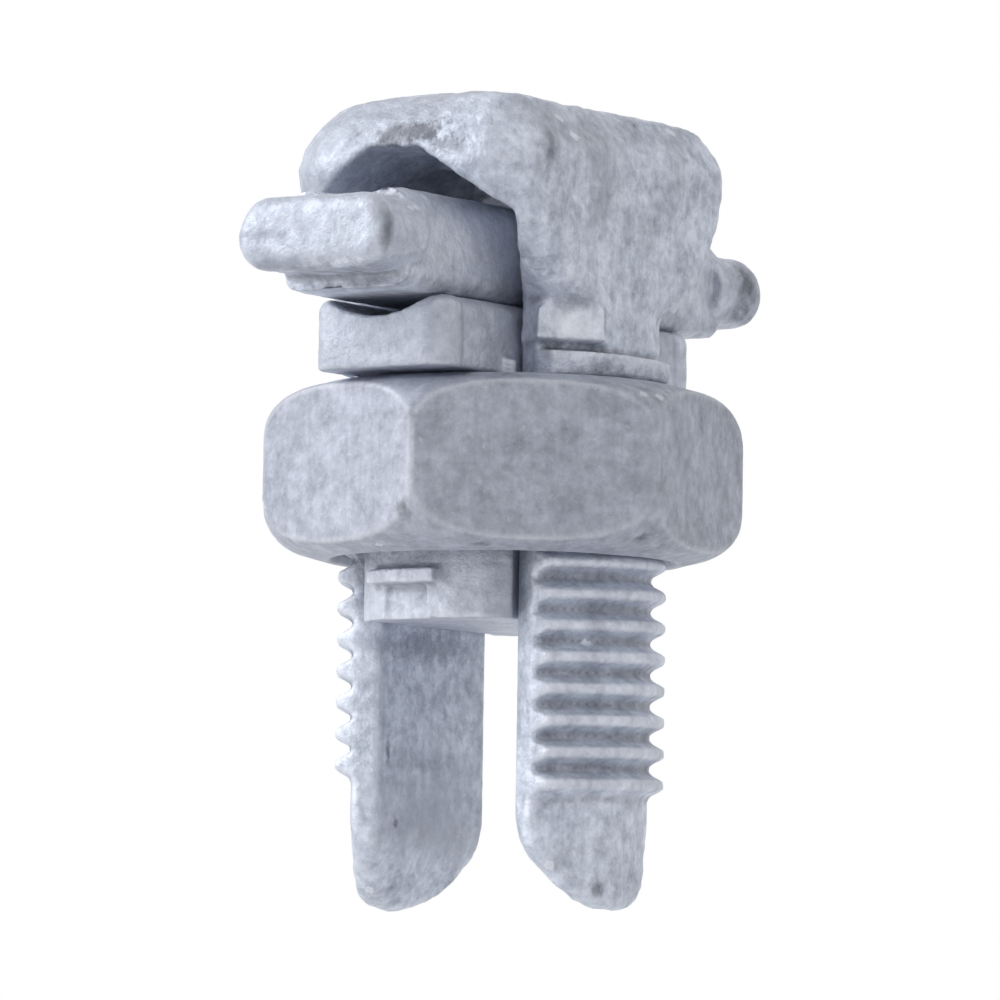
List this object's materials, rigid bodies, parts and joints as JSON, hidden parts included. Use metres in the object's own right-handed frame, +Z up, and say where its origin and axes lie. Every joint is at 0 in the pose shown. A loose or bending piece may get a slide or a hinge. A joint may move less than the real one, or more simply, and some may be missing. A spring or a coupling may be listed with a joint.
{
  "type": "split bolt cable clamp",
  "caption": "Aluminium split-bolt cable clamp: an arched bolt with threaded legs, a hexagon nut, a pressure bar on a captive stem and a loose spacer bar between the cable grooves.",
  "frame": {"origin": "on the bolt's axis at the top of the upper cable groove, under the arch, where the run cable seats", "axes": "+Z up the bolt's axis through the head, +Y along the cables, +X across the slot from leg to leg"},
  "size_m": [0.0314, 0.047, 0.0545],
  "materials": {
    "forged_aluminium": "dull, tin-plated forging",
    "nut_aluminium": "dull, drawn and tumbled hexagon bar, tin-plated",
    "bar_aluminium": "dull, tin-plated forging",
    "spacer_aluminium": "dull, tin-plated forging"
  },
  "bodies": {
    "bolt": {"split_bolt": "forged_aluminium"},
    "pressure_bar": {"pressure_bar": "bar_aluminium"},
    "nut": {"hex_nut": "nut_aluminium"},
    "spacer": {"spacer_bar": "spacer_aluminium"}
  },
  "joints": [
    {"name": "pressure_bar_travel", "type": "slide", "parent": "bolt", "child": "pressure_bar", "axis": [0, 0, 1], "range_m": [-0.02752, 0]},
    {"name": "nut_turn", "type": "hinge", "parent": "pressure_bar", "child": "nut", "pos_m": [0, 0, -0.02058], "axis": [0, 0, 1], "range_deg": [-4680, 0]},
    {"name": "spacer_lift", "type": "slide", "parent": "pressure_bar", "child": "spacer", "axis": [0, 0, 1], "range_m": [0, 0.0005]}
  ],
  "couplings": [
    {"joint": "pressure_bar_travel", "follows": "nut_turn", "m_per_rad": 0.00033693}
  ]
}
